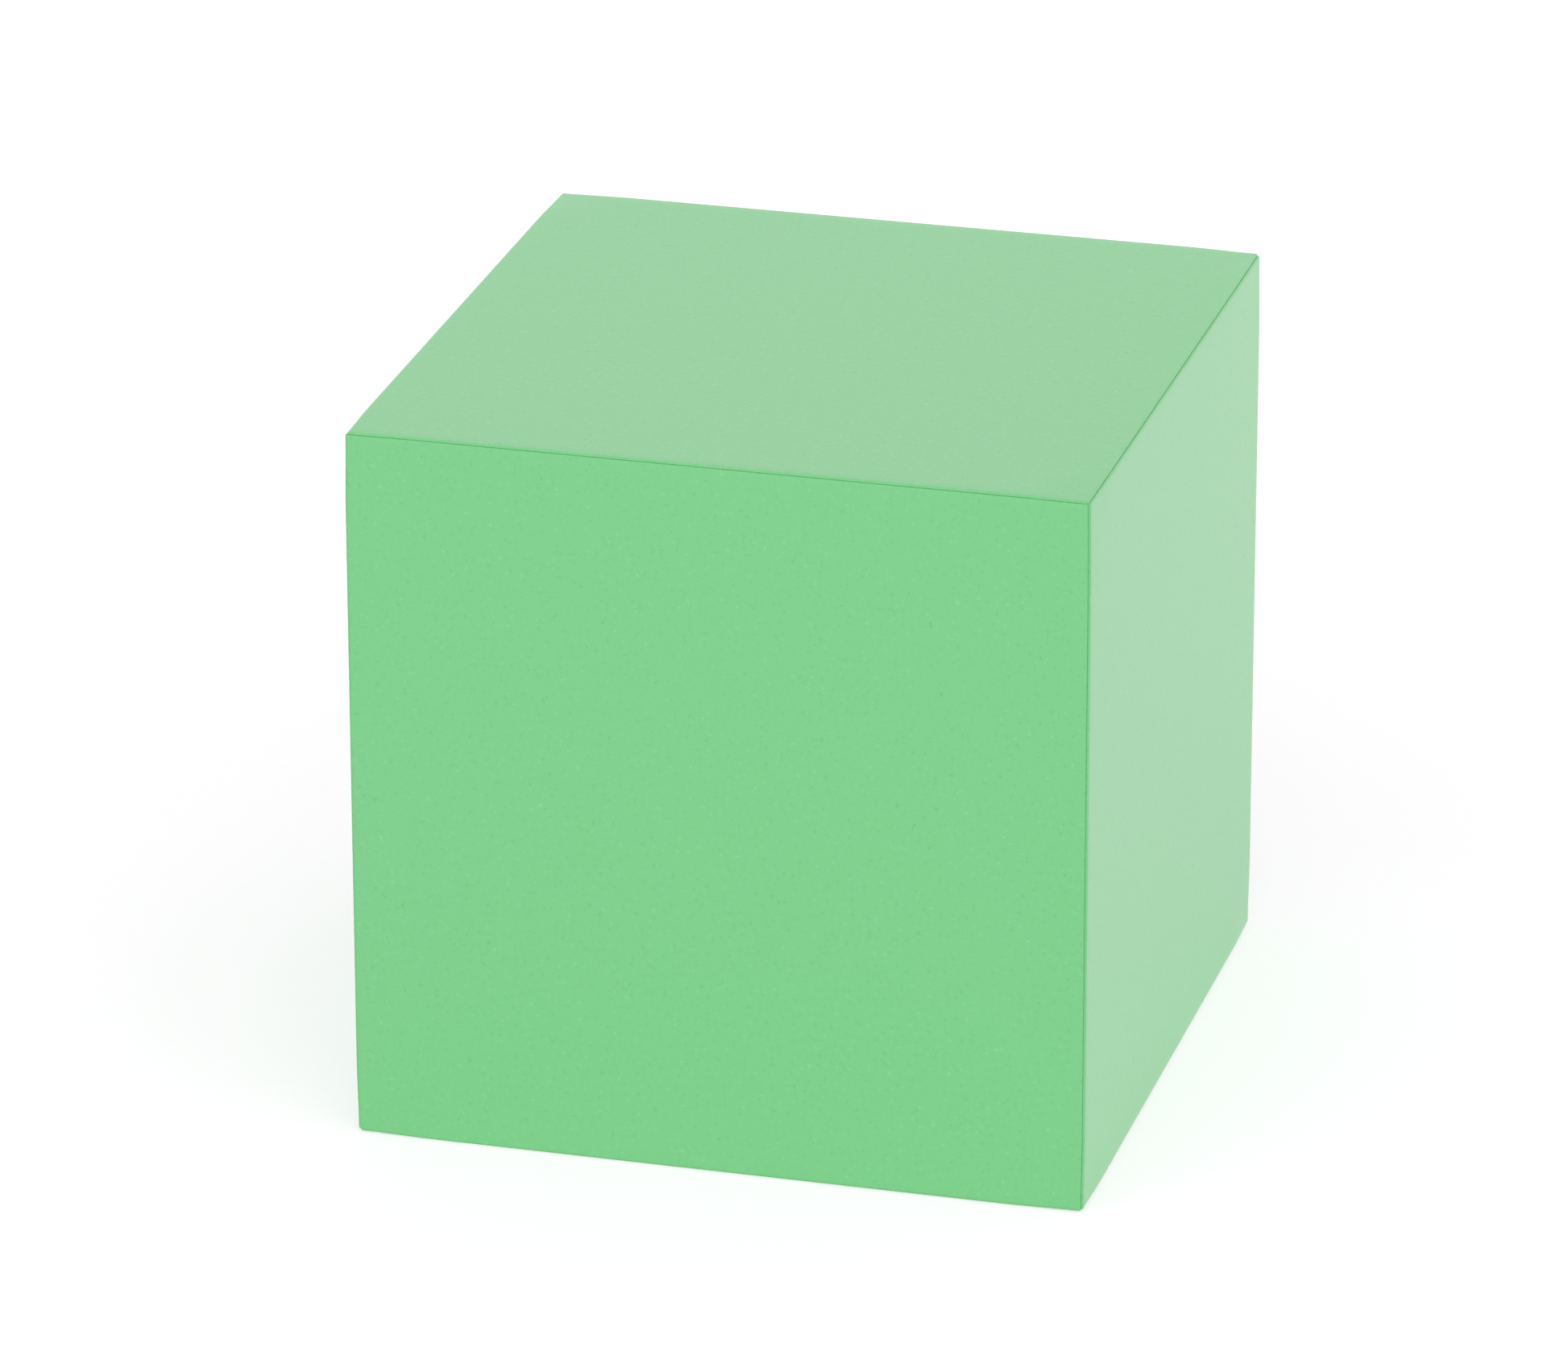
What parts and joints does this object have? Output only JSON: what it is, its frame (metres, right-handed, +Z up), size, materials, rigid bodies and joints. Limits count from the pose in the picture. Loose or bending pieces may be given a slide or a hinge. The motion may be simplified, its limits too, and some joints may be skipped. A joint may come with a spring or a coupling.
{
  "type": "foam play cube",
  "caption": "Soft play cube: a foam block in a mint green leatherette cover with a panel on each face, sewn along every edge, for stacking, building and sitting.",
  "frame": {"origin": "middle of the base panel, on the surface that the cube stands on", "axes": "+Z up, the front panel faces -Y and the right panel faces +X"},
  "size_m": [0.3, 0.3, 0.3],
  "materials": {
    "leatherette": "fine-grained satin coating on a knitted backing",
    "foam": "open-cell polyurethane foam, cut faces",
    "thread": "twisted polyester sewing thread"
  },
  "bodies": {
    "root": {"foam_core": "foam", "seam_thread": "thread", "base_panel": "leatherette", "front_panel": "leatherette", "right_panel": "leatherette", "back_panel": "leatherette", "left_panel": "leatherette", "top_panel": "leatherette"}
  },
  "joints": []
}
